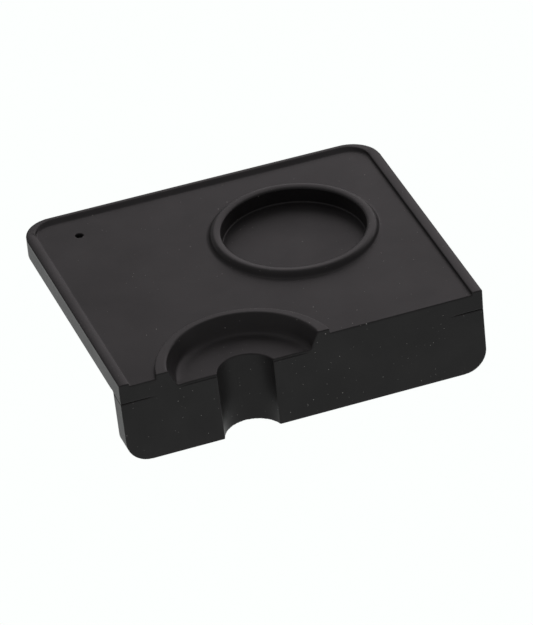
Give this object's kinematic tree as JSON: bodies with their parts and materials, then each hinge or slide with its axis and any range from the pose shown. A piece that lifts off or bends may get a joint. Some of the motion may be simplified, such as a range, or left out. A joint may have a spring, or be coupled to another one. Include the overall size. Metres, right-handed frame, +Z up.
{
  "type": "corner tamping mat",
  "caption": "Silicone pad that hooks over a counter's edge, with a raised tamper ring, a portafilter rest, a spout notch in its front lip and a hanging hole.",
  "frame": {"origin": "the middle of the face that lies on the counter, which is the mat's underside behind the lip", "axes": "+X along the counter's edge, to the right of someone who stands at the counter; +Y back over the counter; +Z up"},
  "size_m": [0.155, 0.13, 0.0394],
  "materials": {
    "mat_silicone": "matte moulded black silicone",
    "lip_silicone": "matte moulded black silicone"
  },
  "bodies": {
    "root": {"tamping_mat": "mat_silicone", "counter_edge_lip": "lip_silicone"}
  },
  "joints": []
}
